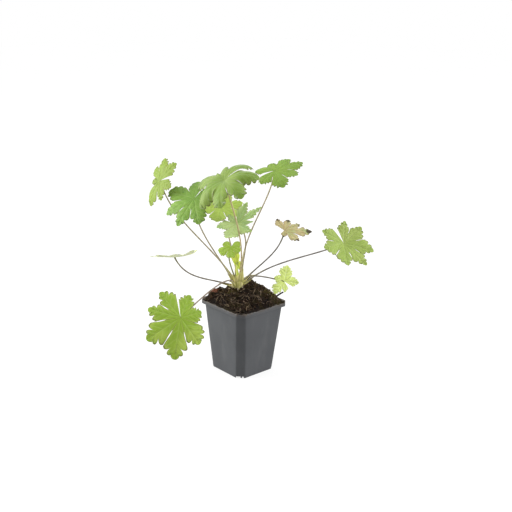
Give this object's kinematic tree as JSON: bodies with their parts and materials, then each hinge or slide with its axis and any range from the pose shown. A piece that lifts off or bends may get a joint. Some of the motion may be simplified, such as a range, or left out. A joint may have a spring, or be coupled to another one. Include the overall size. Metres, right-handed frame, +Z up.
{
  "type": "hardy geranium in a nursery pot",
  "caption": "Young hardy geranium with deeply lobed, toothed leaves on long thin stalks, growing from a low crown in a square tapered nursery pot.",
  "frame": {"origin": "middle of the pot's flat underside, on the surface that the pot stands on", "axes": "+Z up; the pot's four sides face along X and Y; the low leaf hangs on the -Y side and the long right-hand leaf reaches out between +X and +Y"},
  "size_m": [0.258, 0.2698, 0.2921],
  "materials": {
    "pot": "satin, slightly dusty, soft-edged thermoformed plastic",
    "soil": "moist peaty compost with fibres and crumbs",
    "crown": "fleshy pale green sheaths with papery brown scales",
    "leaf": "soft green leaf with sunken veins and a faint sheen",
    "young_leaf": "young lime-green leaf",
    "withered_leaf": "drying leaf, tan in the middle with dark curled tips",
    "stalk": "thin green-brown stalk, reddish at the foot",
    "twig": "dark damp wood",
    "bark": "reddish bark"
  },
  "bodies": {
    "root": {"pot": "pot", "soil": "soil", "crown": "crown", "twig": "twig", "bark_chip": "bark", "shoot_tall": "young_leaf", "shoot_short": "young_leaf", "leaf_upper_left": "leaf", "stalk_upper_left": "stalk", "leaf_left": "leaf", "stalk_left": "stalk", "leaf_top": "leaf", "stalk_top": "stalk", "leaf_upper_right": "leaf", "stalk_upper_right": "stalk", "leaf_middle": "leaf", "stalk_middle": "stalk", "leaf_rear": "leaf", "stalk_rear": "stalk", "leaf_small_front": "young_leaf", "stalk_small_front": "stalk", "leaf_level_left": "leaf", "stalk_level_left": "stalk", "leaf_low_left": "leaf", "stalk_low_left": "stalk", "leaf_right": "leaf", "stalk_right": "stalk", "leaf_withered": "withered_leaf", "stalk_withered": "stalk", "leaf_small_right": "young_leaf", "stalk_small_right": "stalk"}
  },
  "joints": []
}
